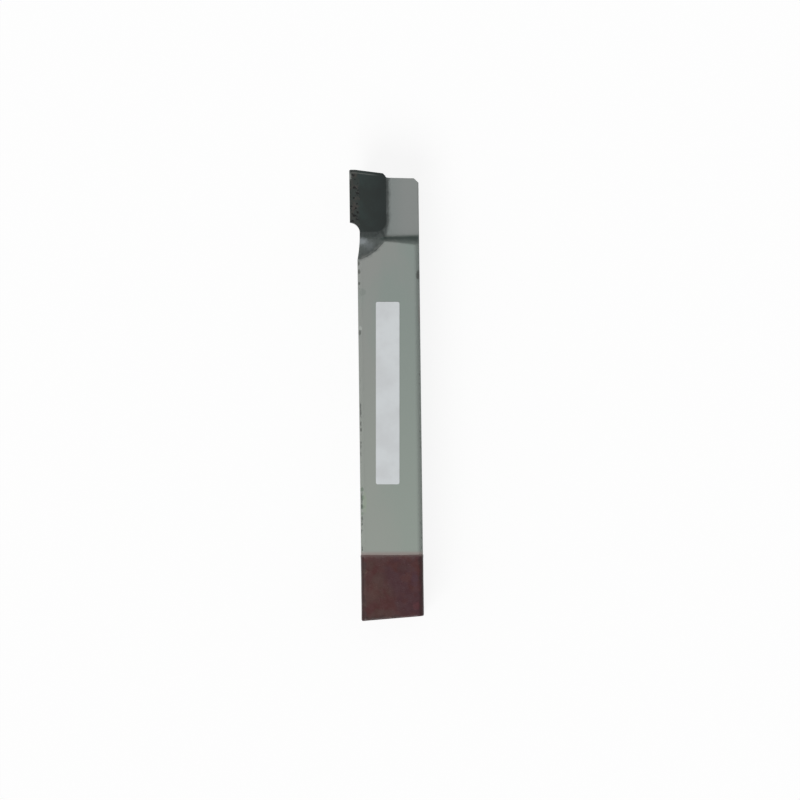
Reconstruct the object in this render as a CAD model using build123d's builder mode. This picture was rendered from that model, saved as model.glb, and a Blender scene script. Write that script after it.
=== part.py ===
from build123d import *
from math import cos, radians, sqrt, tan
import os

# A carbide tipped lathe tool: a square steel shank with a carbide tip brazed into a
# pocket at the left front corner of its head, for turning towards the left.
# The origin is the centre of the base face. +Y runs along the shank to the cutting end,
# +X is the side away from the cutting edge, and +Z is up, towards the rake face.
# All lengths are in millimetres and all angles in degrees.

# Shank: a rolled square bar, sawn off a little out of square at the rear
shank_width = 16.0
shank_height = 16.0
tool_length = 116.5  # from the nose to the longer corner of the rear end
bar_edge_radius = 1.1  # rolled long edges of the bar
saw_angle = 4.1  # how far the rear end is out of square
rear_edge_break = 0.3  # filed edge round the rear end

# Cutting edges, seen from above
edge_offset = 1.83  # the side edge stands this far outside the shank's left side
nose_radius = 0.4
nose_flat = 1.5  # square stretch of the front edge beside the nose
front_edge_angle = 7.1  # the rest of the front edge falls back by this angle
rake_angle = 7.0  # the rake face falls away from the side edge
carbide_clearance = 6.0  # lean of the ground carbide flanks
steel_clearance = 8.0  # lean of the ground steel under them

# Carbide tip: a pressed slab, brazed in and then ground
tip_length = 16.0
tip_width = 9.4
tip_thickness = 6.0
tip_corner_radius = 2.6  # inner rear corner
tip_bevel = 0.8  # inner front corner

# Braze: a thin layer under and beside the tip, and a fillet bead round its inner sides
braze_gap = 0.2
bead_height = 0.35
bead_width = 0.85
bead_hollow = 0.1  # how deep the bead's face curves in
bead_skirt = 1.4  # how far down the bead follows the hollow behind the tip

# Head: steel milled down beside the tip, with a sloping step up to the shank
tip_proud = 0.45  # the rake face stands this far above the milled steel
steel_recess = 0.15  # the ground steel stands this far back from the carbide
shoulder_setback = 1.9  # from the nose back to the steel beside the tip
shoulder_angle = 0.9  # the shoulder falls back towards the right side
corner_bevel = 1.5  # right front corner of the head
step_gap = 1.0  # from the tip's rear to the foot of the step
step_angle = 45.0
step_root_radius = 0.8
step_edge_radius = 0.4  # worn upper edge of the step

# Neck: a ground corner behind the side edge, running out into the shank's left side
neck_radius = 2.5
runout_radius = 38.0
runout_sweep = 20.0  # far enough round to leave the shank's side

# Hollow: a round groove ground into the top left corner, behind the tip
hollow_radius = 12.2  # its outer edge on the shank's top face
hollow_depth = 2.0
hollow_section_radius = 3.5
hollow_axis_out = 1.15  # its axis stands this far outside the side edge
hollow_axis_ahead = 4.4  # and this far ahead of the tip's rear

# Label: a thin blank sticker, a little askew on the top face
label_width = 6.1
label_length = 47.1
label_thickness = 0.1
label_corner_radius = 0.5
label_askew = 0.7
label_offset = 0.6  # its middle lies this far left of the shank's middle
label_setback = 34.2  # from the nose back to its front end

# Places that follow from the sizes
left_side = -shank_width / 2
right_side = shank_width / 2
side_edge = left_side - edge_offset
nose_y = tool_length / 2
rear_y = -tool_length / 2
tip_rear = nose_y - tip_length
pocket_rear = tip_rear - braze_gap
beyond = shank_width  # past every surface that a cut has to clear
all_round = 4 * beyond  # past them on every side

# Inner front corner of the tip, where the front edge turns back
inner_corner_x = side_edge + tip_width * cos(radians(rake_angle)) - tip_bevel
inner_corner_y = nose_y - (inner_corner_x - side_edge - nose_flat) * tan(radians(front_edge_angle))

# Shoulder of the steel beside the tip
shoulder_y = nose_y - shoulder_setback
shoulder_start = inner_corner_x + inner_corner_y - steel_recess - shoulder_y
shoulder_end = right_side - corner_bevel
shoulder_fall = (shoulder_end - shoulder_start) * tan(radians(shoulder_angle))

# Hollow: the centre of its outer edge on the top face, and half its width there
hollow_centre = (side_edge - hollow_axis_out, tip_rear + hollow_axis_ahead, shank_height)
hollow_half_width = sqrt(hollow_depth * (2 * hollow_section_radius - hollow_depth))

top_plane = Plane.XY.offset(shank_height)
junction_plane = Plane.XZ.offset(-pocket_rear)
rake_plane = Plane((side_edge, nose_y, shank_height)).rotated((0, rake_angle, 0))
milled_plane = rake_plane.offset(-tip_proud)


def flank_line(clearance):
    """The line that all the ground flanks follow down from the nose to the base."""
    lean = tan(radians(clearance))
    return Vector(lean, -lean, -1) * shank_height


# Outline of the ground carbide, level with the side edge
with BuildSketch(top_plane) as carbide_outline:
    with BuildLine():
        Polyline(
            (side_edge, pocket_rear - beyond),
            (side_edge, nose_y),
            (side_edge + nose_flat, nose_y),
            (inner_corner_x, inner_corner_y),
            (inner_corner_x + beyond, inner_corner_y - beyond),
            (inner_corner_x + beyond, pocket_rear - beyond),
            close=True,
        )
    make_face()
    fillet(carbide_outline.vertices().sort_by_distance((side_edge, nose_y))[0], nose_radius)

# Outline of the ground steel: it follows the carbide, then the shoulder and the bevel
with BuildSketch(top_plane) as steel_outline:
    with BuildLine():
        Polyline(
            (side_edge + steel_recess, pocket_rear - beyond),
            (side_edge + steel_recess, nose_y - steel_recess),
            (side_edge + nose_flat, nose_y - steel_recess),
            (inner_corner_x, inner_corner_y - steel_recess),
            (shoulder_start, shoulder_y),
            (shoulder_end, shoulder_y - shoulder_fall),
            (shoulder_end + beyond, shoulder_y - shoulder_fall - beyond),
            (shoulder_end + beyond, pocket_rear - beyond),
            close=True,
        )
    make_face()
    fillet(steel_outline.vertices().sort_by_distance((side_edge, nose_y))[0], nose_radius)

# Section of the bar, where it meets the head
with BuildSketch(junction_plane) as bar_section:
    Rectangle(shank_width, shank_height, align=(Align.CENTER, Align.MIN))
    fillet(bar_section.vertices(), bar_edge_radius)

# Neck, seen from above: a corner centred on the side edge, level with the pocket's rear
# wall, and a long arc that runs out through the shank's side
with BuildSketch() as neck_outline:
    with BuildLine():
        corner = CenterArc((side_edge, pocket_rear), neck_radius, 90, -90)
        runout_x = side_edge + neck_radius - runout_radius
        runout = CenterArc((runout_x, pocket_rear), runout_radius, 0, -runout_sweep)
        Polyline(
            runout @ 1,
            ((runout @ 1).X - beyond, (runout @ 1).Y),
            ((runout @ 1).X - beyond, (corner @ 0).Y),
            corner @ 0,
        )
    make_face()

# Tip and its pocket, seen square to the rake face and open to the side and the front
with BuildSketch(rake_plane) as tip_outline:
    with BuildLine():
        Polyline(
            (-beyond, beyond),
            (tip_width, beyond),
            (tip_width, -tip_length),
            (-beyond, -tip_length),
            close=True,
        )
    make_face()
    fillet(tip_outline.vertices().sort_by_distance((tip_width, -tip_length))[0], tip_corner_radius)

with BuildSketch(rake_plane) as pocket_outline:
    add(tip_outline.sketch_local)
    offset(amount=braze_gap)

with BuildPart() as shank:
    # Head, as wide as the bar and the steel under the side edge, with leaning flanks
    steel_line = flank_line(steel_clearance)
    extrude(steel_outline.sketch, amount=steel_line.length, dir=steel_line)
    with BuildSketch(junction_plane):
        add(bar_section.sketch_local)
        with Locations((0, bar_edge_radius)):
            Rectangle(beyond, shank_height - bar_edge_radius, align=(Align.MAX, Align.MIN))
    extrude(amount=pocket_rear - nose_y, mode=Mode.INTERSECT)
    # Bar behind the head, sawn off and filed at the rear
    extrude(bar_section.sketch, amount=pocket_rear - rear_y + beyond)
    saw_plane = Plane((left_side, rear_y, 0), z_dir=Vector(0, 1, 0).rotate(Axis.Z, saw_angle))
    split(bisect_by=saw_plane, keep=Keep.TOP)
    chamfer(shank.faces().sort_by(Axis.Y)[0].edges(), rear_edge_break)
    # Neck behind the side edge
    extrude(neck_outline.sketch, amount=shank_height, mode=Mode.SUBTRACT)
    # Milled top of the head, ending in the step up to the shank
    with BuildSketch(Plane(milled_plane.origin, (0, 1, 0), milled_plane.x_dir)) as step_section:
        with BuildLine():
            Polyline(
                (beyond, 0),
                (-tip_length - step_gap, 0),
                (-tip_length - step_gap - beyond * tan(radians(step_angle)), beyond),
                (beyond, beyond),
                close=True,
            )
        make_face()
        fillet(
            step_section.vertices().sort_by_distance((-tip_length - step_gap, 0))[0],
            step_root_radius,
        )
    extrude(amount=edge_offset + shank_width + beyond, both=True, mode=Mode.SUBTRACT)
    # Hollow behind the tip
    with BuildSketch(Plane(hollow_centre, (1, 0, 0), (0, -1, 0))):
        with Locations((hollow_radius - hollow_half_width, hollow_section_radius - hollow_depth)):
            Circle(hollow_section_radius)
    revolve(axis=Axis(hollow_centre, (0, 0, 1)), mode=Mode.SUBTRACT)
    # Worn upper edge of the step, from the hollow to the right side
    top_edges = shank.faces().sort_by(Axis.Z)[-1].edges()
    fillet(top_edges.filter_by(GeomType.LINE).sort_by(Axis.Y)[-1], step_edge_radius)
    # Pocket for the tip and its braze
    extrude(pocket_outline.sketch, amount=-tip_thickness - braze_gap, mode=Mode.SUBTRACT)

with BuildPart() as carbide_tip:
    extrude(tip_outline.sketch, amount=-tip_thickness)
    carbide_line = flank_line(carbide_clearance)
    extrude(carbide_outline.sketch, amount=carbide_line.length, dir=carbide_line, mode=Mode.INTERSECT)
    extrude(neck_outline.sketch, amount=shank_height, mode=Mode.SUBTRACT)

with BuildPart() as braze_seam:
    # Layer that fills the pocket up to the milled steel
    extrude(pocket_outline.sketch, amount=-tip_thickness - braze_gap)
    with BuildSketch(milled_plane):
        Rectangle(all_round, all_round)
    extrude(amount=beyond, mode=Mode.SUBTRACT)
    # Bead round the inner side and the rear of the tip
    with BuildLine(milled_plane) as bead_path:
        FilletPolyline(
            (tip_width, beyond),
            (tip_width, -tip_length),
            (-beyond, -tip_length),
            radius=tip_corner_radius,
        )
    with BuildSketch(Plane(bead_path.line @ 0, milled_plane.x_dir, (0, -1, 0))):
        with BuildLine():
            SagittaArc((0, bead_height), (bead_width, 0), bead_hollow)
            Polyline(
                (bead_width, 0),
                (bead_width + bead_skirt, -bead_skirt),
                (0, -bead_skirt),
                (0, bead_height),
            )
        make_face()
    sweep(path=bead_path.line)
    # It is ground with the steel, and fills only what the steel and the tip leave free
    extrude(steel_outline.sketch, amount=steel_line.length, dir=steel_line, mode=Mode.INTERSECT)
    extrude(neck_outline.sketch, amount=shank_height, mode=Mode.SUBTRACT)
    add(shank.part, mode=Mode.SUBTRACT)
    add(carbide_tip.part, mode=Mode.SUBTRACT)

label_plane = Plane(
    (-label_offset, nose_y - label_setback - label_length / 2, shank_height)
).rotated((0, 0, -label_askew))

with BuildPart() as label:
    with BuildSketch(label_plane):
        RectangleRounded(label_width, label_length, label_corner_radius)
    extrude(amount=label_thickness)

shank.part.label = "shank"
carbide_tip.part.label = "carbide_tip"
braze_seam.part.label = "braze_seam"
label.part.label = "label"

os.makedirs("parts", exist_ok=True)
export_step(shank.part, "parts/shank.step")
export_step(carbide_tip.part, "parts/carbide_tip.step")
export_step(braze_seam.part, "parts/braze_seam.step")
export_step(label.part, "parts/label.step")
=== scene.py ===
"""The looks of a carbide tipped lathe tool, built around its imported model.

The tool lies on its base with +Y towards the cutting end, +X away from the cutting edge
and +Z up. Blender works in metres. The sizes below are in millimetres, and MM turns them
into metres where a mesh, a material or the camera is made.
"""

import logging
import math
from dataclasses import dataclass, field
from enum import Enum

import bpy
from mathutils import Euler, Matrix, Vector, noise
from mathutils.bvhtree import BVHTree


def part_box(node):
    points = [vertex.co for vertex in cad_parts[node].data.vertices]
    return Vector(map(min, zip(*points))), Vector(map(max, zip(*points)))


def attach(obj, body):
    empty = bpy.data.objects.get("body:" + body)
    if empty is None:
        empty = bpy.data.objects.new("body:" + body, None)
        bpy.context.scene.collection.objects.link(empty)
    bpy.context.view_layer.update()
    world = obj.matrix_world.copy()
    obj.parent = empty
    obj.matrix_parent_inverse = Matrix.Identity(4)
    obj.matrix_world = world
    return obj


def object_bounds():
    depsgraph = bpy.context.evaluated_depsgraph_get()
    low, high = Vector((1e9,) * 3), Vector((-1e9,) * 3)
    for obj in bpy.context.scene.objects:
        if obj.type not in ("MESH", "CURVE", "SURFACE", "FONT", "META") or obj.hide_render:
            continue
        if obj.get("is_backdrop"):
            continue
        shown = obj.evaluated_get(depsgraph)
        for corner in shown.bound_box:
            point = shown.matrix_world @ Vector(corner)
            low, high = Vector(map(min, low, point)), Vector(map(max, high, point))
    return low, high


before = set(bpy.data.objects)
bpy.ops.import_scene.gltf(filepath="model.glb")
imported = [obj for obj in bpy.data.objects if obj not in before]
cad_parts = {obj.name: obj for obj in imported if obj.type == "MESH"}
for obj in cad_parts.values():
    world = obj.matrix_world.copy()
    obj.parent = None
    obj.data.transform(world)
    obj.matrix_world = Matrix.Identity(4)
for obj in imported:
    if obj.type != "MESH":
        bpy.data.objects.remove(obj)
CAD_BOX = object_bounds()

MM = 0.001
DIP_LINE = -41.24  # y where the maroon dip stops, in the middle of the top face
LOG = logging.getLogger("lathe_tool")
Socket = bpy.types.NodeSocket
Pair = tuple[float, float]
Triple = tuple[float, float, float]
Face = tuple[int, ...]


class Slot(Enum):
    """The record's material slots."""

    PAINT = "shank_paint"
    CARBIDE = "carbide"
    BRAZE = "braze"
    PAPER = "label_paper"


def linear(colour: str) -> tuple[float, float, float, float]:
    """Turns an sRGB colour into the linear colour that a shader takes.

    Args:
        colour: The colour as six hex digits after a hash.

    Returns:
        Red, green, blue and an alpha of 1.
    """
    parts = [int(colour[i : i + 2], 16) / 255 for i in (1, 3, 5)]
    bent = [c / 12.92 if c <= 0.04045 else ((c + 0.055) / 1.055) ** 2.4 for c in parts]
    return (*bent, 1.0)


def add_node(
    tree: bpy.types.NodeTree,
    kind: str,
    inputs: dict[str | int, object] | None = None,
    **settings: object,
) -> Socket:
    """Adds a node with its settings, and sets or links its inputs.

    Args:
        tree: The node tree that the node joins.
        kind: The node's type, without its ShaderNode in front.
        inputs: Values or sockets for the inputs in use, by name or by place.
        **settings: The node's own properties.

    Returns:
        The node's first output in use, or its first input if it has no output.
    """
    node = tree.nodes.new("ShaderNode" + kind)
    for name, value in settings.items():
        setattr(node, name, value)
    live = [socket for socket in node.inputs if socket.enabled]
    for name, value in (inputs or {}).items():
        socket = live[name] if isinstance(name, int) else next(s for s in live if s.name == name)
        if isinstance(value, Socket):
            tree.links.new(value, socket)
        else:
            socket.default_value = value
    return next((socket for socket in node.outputs if socket.enabled), None) or node.inputs[0]


def empty_tree(owner: bpy.types.Material | bpy.types.World) -> bpy.types.NodeTree:
    """Switches on the nodes of a material or world and clears them.

    Args:
        owner: The material or world.

    Returns:
        Its node tree.
    """
    owner.use_nodes = True
    owner.node_tree.nodes.clear()
    return owner.node_tree


def add_object(name: str, data: bpy.types.ID) -> bpy.types.Object:
    """Adds an object to the scene.

    Args:
        name: The object's name.
        data: Its mesh, lamp or camera.

    Returns:
        The object.
    """
    made = bpy.data.objects.new(name, data)
    bpy.context.scene.collection.objects.link(made)
    return made


@dataclass(frozen=True)
class Canvas:
    """What every finish draws on: a node tree with the surface's place and direction."""

    tree: bpy.types.NodeTree
    place: Socket
    x: Socket
    y: Socket
    z: Socket
    facing: dict[str, Socket]

    @staticmethod
    def on(tree: bpy.types.NodeTree) -> "Canvas":
        """Starts a canvas whose places are in millimetres in the tool's own frame.

        Args:
            tree: The material's node tree.

        Returns:
            The canvas.
        """
        metres = add_node(tree, "TexCoord").node.outputs["Object"]
        place = add_node(tree, "VectorMath", {0: metres, 1: (1 / MM,) * 3}, operation="MULTIPLY")
        axes = add_node(tree, "SeparateXYZ", {0: place}).node.outputs
        normal = add_node(tree, "NewGeometry").node.outputs["True Normal"]
        turned = add_node(tree, "VectorTransform", {0: normal}, vector_type="NORMAL",
                          convert_from="WORLD", convert_to="OBJECT")
        facing = add_node(tree, "SeparateXYZ", {0: turned}).node.outputs
        return Canvas(tree, place, axes[0], axes[1], axes[2], dict(zip("xyz", facing)))

    def add(self, kind: str, inputs: dict[str | int, object], **settings: object) -> Socket:
        """Adds a node to this canvas, as add_node does."""
        return add_node(self.tree, kind, inputs, **settings)

    def ramp(
        self, value: object, start: float, end: float, low: float = 0.0, high: float = 1.0
    ) -> Socket:
        """Turns a value into a smooth step between two levels.

        Args:
            value: The socket to read.
            start: Where the step begins.
            end: Where it ends, which may lie below start.
            low: The level at start.
            high: The level at end.

        Returns:
            The step's socket.
        """
        ends = {"Value": value, "From Min": start, "From Max": end, "To Min": low, "To Max": high}
        return self.add("MapRange", ends, interpolation_type="SMOOTHSTEP")

    def combine(self, operation: str, *values: object) -> Socket:
        """Joins two or more values by one sum.

        Args:
            operation: The sum, such as ADD, SUBTRACT or MAXIMUM.
            *values: Sockets or numbers, taken from left to right.

        Returns:
            The result's socket.
        """
        result = values[0]
        for value in values[1:]:
            result = self.add("Math", {0: result, 1: value}, operation=operation)
        return result

    def every(self, *masks: object) -> Socket:
        """Joins masks that all have to hold, or scales a value by a number."""
        return self.combine("MULTIPLY", *masks)

    def distance(self, value: object, target: object) -> Socket:
        """Measures how far a value is from a target, whichever side it is on."""
        return self.add("Math", {0: self.combine("SUBTRACT", value, target)}, operation="ABSOLUTE")

    def length(self, across: object, along: object) -> Socket:
        """Measures the diagonal of two distances at right angles."""
        both = self.add("CombineXYZ", {"X": across, "Y": along})
        return self.add("VectorMath", {0: both}, operation="LENGTH")

    def from_spot(self, centre: Triple, size: Triple) -> Socket:
        """Measures how far a place is from a spot's middle, as a share of the spot's size.

        Args:
            centre: The spot's middle in mm.
            size: Half of its size along each axis in mm.

        Returns:
            The share's socket, which is 1 on the spot's border.
        """
        away = self.add("VectorMath", {0: self.place, 1: centre}, operation="SUBTRACT")
        share = self.add("VectorMath", {0: away, 1: size}, operation="DIVIDE")
        return self.add("VectorMath", {0: share}, operation="LENGTH")

    def blend(self, mask: object, under: object, over: object) -> Socket:
        """Lays one colour or number over another.

        Args:
            mask: Where the upper one shows.
            under: The lower colour or number, where a colour may be its hex digits.
            over: The upper colour or number, given the same way.

        Returns:
            The mixed socket.
        """
        low, high = (linear(value) if isinstance(value, str) else value for value in (under, over))
        plain = isinstance(high, (int, float)) or getattr(high, "type", "") == "VALUE"
        kind = "FLOAT" if plain else "RGBA"
        return self.add("Mix", {"Factor": mask, "A": low, "B": high}, data_type=kind)

    def grain(
        self, size: float, detail: float = 2.0, stretch: Triple = (1, 1, 1), seed: float = 0.0
    ) -> Socket:
        """Draws cloudy grain.

        Args:
            size: The grain's width in millimetres.
            detail: How many finer layers it has.
            stretch: How much longer the grain is along each axis.
            seed: Moves the pattern, so that two grains differ.

        Returns:
            The grain's socket, about 0.5 in the middle.
        """
        scale = tuple(1 / (size * s) for s in stretch)
        moved = self.add("Mapping", {"Vector": self.place, "Location": (seed,) * 3, "Scale": scale})
        return self.add("TexNoise", {"Vector": moved, "Scale": 1.0, "Detail": detail})

    def wander(
        self, size: float, reach: float, stretch: Triple = (1, 1, 1), seed: float = 0.0
    ) -> Socket:
        """Draws grain that swings evenly to both sides of 0, to make a border ragged.

        Args:
            size: The grain's width in millimetres.
            reach: How far it swings.
            stretch: How much longer the grain is along each axis.
            seed: Moves the pattern.

        Returns:
            The swing's socket.
        """
        # Grain hardly ever leaves the span from 0.25 to 0.75, so that becomes the whole swing
        return self.ramp(self.grain(size, 3.0, stretch, seed), 0.25, 0.75, -reach, reach)


@dataclass(frozen=True)
class Mark:
    """A chip, scuff or smudge at the place where the real tool has it; some marks are painted light
    and shade instead.
    """

    x: float
    y: float
    wide: float  # half its size across the tool
    long: float  # half its size along it
    colour: str
    cover: float = 0.8
    deep: float = 0.9  # half its size in height
    soft: float = 0.3  # how wide its border fades, as a share of its size
    drop: float = 0.2  # how far under the face its middle lies
    ragged: Pair = (0.6, 0.3)  # size of its border's grain, and how far that swings

    def over(self, c: Canvas, colour: Socket, top: float) -> Socket:
        """Lays the mark over a colour.

        Args:
            c: The canvas to draw on.
            colour: The colour under it.
            top: The height of the face that it lies on.

        Returns:
            The colour with the mark on it.
        """
        away = c.from_spot((self.x, self.y, top - self.drop), (self.wide, self.long, self.deep))
        ragged = c.combine("ADD", away, c.wander(*self.ragged, seed=self.y))
        cover = c.ramp(ragged, 1 + self.soft, 1 - self.soft, 0.0, self.cover)
        return c.blend(cover, colour, self.colour)


@dataclass(frozen=True)
class ToolPlaces:
    """Places on the tool that its finishes and added pieces follow, in mm."""

    right: float
    top: float
    rear: float
    nose: float
    side_edge: float
    tip_rear: float
    tip_right: float
    tip_corner: float = 2.6  # radius of the tip's inner rear corner
    front_edge_angle: float = 7.1
    nose_flat: float = 1.5
    step_root: float = 1.65  # from the tip's rear to the root of the step
    neck_length: float = 7.3  # from the tip's rear to where the neck runs out
    hollow_out: float = 1.15  # the hollow's axis stands this far outside the side edge
    hollow_ahead: float = 4.4  # and this far ahead of the tip's rear
    hollow_radius: float = 12.2

    @staticmethod
    def from_frame() -> "ToolPlaces":
        """Reads the places from the boxes of the shank and the tip.

        Returns:
            The tool's places.
        """
        low, high = (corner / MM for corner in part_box("shank"))
        tip_low, tip_high = (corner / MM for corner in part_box("carbide_tip"))
        return ToolPlaces(high.x, high.z, low.y, tip_high.y, tip_low.x, tip_low.y, tip_high.x)

    @property
    def neck_rear(self) -> float:
        """Gives the y at which the ground neck runs out."""
        return self.tip_rear - self.neck_length

    def from_tip(self, c: Canvas) -> Socket:
        """Measures, seen from above, how far a place is outside the tip's inner side and rear.

        Args:
            c: The canvas to measure on.

        Returns:
            The distance's socket, in mm and below zero on the tip.
        """
        across = c.combine("SUBTRACT", c.x, self.tip_right - self.tip_corner)
        behind = c.combine("SUBTRACT", self.tip_rear + self.tip_corner, c.y)
        out = c.length(c.combine("MAXIMUM", across, 0.0), c.combine("MAXIMUM", behind, 0.0))
        return c.combine("SUBTRACT", out, self.tip_corner)

    def from_hollow_axis(self, c: Canvas) -> Socket:
        """Measures how far a place is from the axis of the round hollow behind the tip.

        Args:
            c: The canvas to measure on.

        Returns:
            The distance's socket, in mm and seen from above.
        """
        across = c.combine("SUBTRACT", c.x, self.side_edge - self.hollow_out)
        along = c.combine("SUBTRACT", c.y, self.tip_rear + self.hollow_ahead)
        return c.length(across, along)

    def from_front_edge(self, c: Canvas) -> Socket:
        """Measures how far a place on the tip is behind its front edge.

        Args:
            c: The canvas to measure on.

        Returns:
            The distance's socket, in mm along the tool.
        """
        past_flat = c.combine("SUBTRACT", c.x, self.side_edge + self.nose_flat)
        past_flat = c.combine("MAXIMUM", past_flat, 0.0)
        fall = c.every(past_flat, math.tan(math.radians(self.front_edge_angle)))
        return c.combine("SUBTRACT", self.nose, c.combine("ADD", c.y, fall))

    def from_side(self, c: Canvas) -> Socket:
        """Measures how far a place is inside the nearer side of the shank."""
        return c.combine("SUBTRACT", self.right, c.distance(c.x, 0.0))


@dataclass(frozen=True)
class Finish:
    """A real surface: what it is made of and how it was made."""

    name: str
    ior: float = 1.5
    blunt: float = 0.1  # how far the light catches each edge, in mm
    blunt_samples: int = 8
    places: ToolPlaces = field(default_factory=ToolPlaces.from_frame)  # the forms it follows

    def draw(self, c: Canvas) -> dict[str, object]:
        """Draws the finish.

        Args:
            c: The canvas to draw on.

        Returns:
            The shader's inputs by name, with the surface's relief in mm under Relief.
        """
        raise NotImplementedError

    def material(self) -> bpy.types.Material:
        """Builds the finish as a material.

        Returns:
            The new material.
        """
        made = bpy.data.materials.new(self.name)
        tree = empty_tree(made)
        inputs = self.draw(Canvas.on(tree))
        relief = inputs.pop("Relief")
        rounded = add_node(tree, "Bevel", {"Radius": self.blunt * MM}, samples=self.blunt_samples)
        bumps = {"Height": relief, "Distance": MM, "Strength": 1.0, "Normal": rounded}
        inputs["Normal"] = add_node(tree, "Bump", bumps)
        shader = add_node(tree, "BsdfPrincipled", {"IOR": self.ior, **inputs})
        add_node(tree, "OutputMaterial", {"Surface": shader})
        return made


@dataclass(frozen=True)
class BurntFlux:
    """Flux that burnt onto the head when the tip was brazed, and was worn thin behind it.

    It gives the eye a dark border round the tip, streaks down into the hollow, and two pale
    patches there, painted light where the hollow's side turns to the key lamp.
    """

    places: ToolPlaces
    crust: str = "#2A302F"
    thin: str = "#4C5250"  # the stain in the hollow
    wall: str = "#595F5D"  # the stain on the hollow's far wall
    side_reach: float = 1.6  # how far the crust goes beside the tip
    rear_reach: float = 2.4  # and behind it
    crust_ragged: Pair = (2.2, 0.2)  # size of its border's grain, and how far that swings
    behind_tip: Pair = (1.5, -0.5)  # from the tip's rear, where beside turns into behind
    streak: Pair = (0.7, 0.6)  # width of the streaks behind the tip, and how far they swing
    streaked: float = 0.35  # how much of the crust's colour they put on the stain
    stain_border: Pair = (0.7, -1.0)  # from the hollow's edge, where the stain fades in
    stain_ragged: Pair = (1.6, 0.4)
    stain_side: float = 0.8  # how far it fades to both sides of the tip's inner side
    wall_border: Pair = (-4.5, -2.0)  # from the same edge, where the far wall begins
    patch_drop: float = 2.0  # how far under the top face the patches lie
    # The first two patches are painted light, where the hollow's side turns to the key lamp; the
    # third is dark crust
    patches: tuple[Mark, ...] = (
        Mark(-6.7, 39.8, 1.2, 0.9, "#7E8487", 0.85, 4.0, 0.7),
        Mark(-4.9, 38.6, 1.2, 0.9, "#757B7F", 0.35, 4.0, 0.8),
        Mark(-2.9, 41.2, 1.3, 0.85, "#2A302F", 0.7, 4.0, 0.6),
    )

    def over(self, c: Canvas, colour: Socket) -> Socket:
        """Lays the burnt flux over a colour.

        Args:
            c: The canvas to draw on.
            colour: The colour under it.

        Returns:
            The colour with the flux on it.
        """
        at = self.places
        upward = c.ramp(c.facing["z"], 0.0, 0.2)
        behind = c.ramp(c.y, *(at.tip_rear + past for past in self.behind_tip))
        streaks = c.wander(*self.streak, (1, 4, 1), seed=7.0)
        # The thin stain of the hollow, out to a soft border past its edge
        ragged = c.wander(*self.stain_ragged, seed=15.0)
        from_axis = c.combine("ADD", at.from_hollow_axis(c), ragged)
        border, wall = (
            c.ramp(from_axis, at.hollow_radius + start, at.hollow_radius + end)
            for start, end in (self.stain_border, self.wall_border)
        )
        in_line = c.ramp(c.x, at.tip_right + self.stain_side, at.tip_right - self.stain_side)
        tone = c.blend(wall, self.thin, self.wall)
        tone = c.blend(c.ramp(streaks, -0.8, 0.8, 0.0, self.streaked), tone, self.crust)
        colour = c.blend(c.every(border, in_line, behind, upward), colour, tone)
        for patch in self.patches:
            colour = patch.over(c, colour, at.top - self.patch_drop)
        # The crust, ragged beside the tip and streaked behind it
        ragged = c.blend(behind, c.wander(*self.crust_ragged, seed=8.0), streaks)
        reach = c.blend(behind, self.side_reach, self.rear_reach)
        out = c.combine("DIVIDE", c.combine("ADD", at.from_tip(c), ragged), reach)
        return c.blend(c.every(c.ramp(out, 1.0, -0.1), upward), colour, self.crust)


@dataclass(frozen=True)
class GroundMarks:
    """Fine straight lines that a grinding wheel leaves along a flank."""

    light: str
    shade: str
    pitch: float = 0.11  # about twice the real one, so that it shows
    length: float = 14.0
    depth: float = 0.004
    patch: float = 4.0  # size of the places where the wheel cut brighter or duller
    patch_share: float = 0.05

    def draw(self, c: Canvas) -> tuple[Socket, Socket]:
        """Draws the lines.

        Args:
            c: The canvas to draw on.

        Returns:
            The ground metal's colour and its relief in mm.
        """
        share = self.length / self.pitch
        lines = c.grain(self.pitch, 2.0, (share, share, 1), seed=5.0)
        cloud = c.grain(self.patch, 2.0, (1.5, 1.5, 1), seed=6.0)
        patches = c.ramp(cloud, 0.3, 0.7, -self.patch_share, self.patch_share)
        tone = c.ramp(c.combine("ADD", lines, patches), 0.3, 0.7)
        return c.blend(tone, self.shade, self.light), c.every(lines, self.depth)


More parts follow.
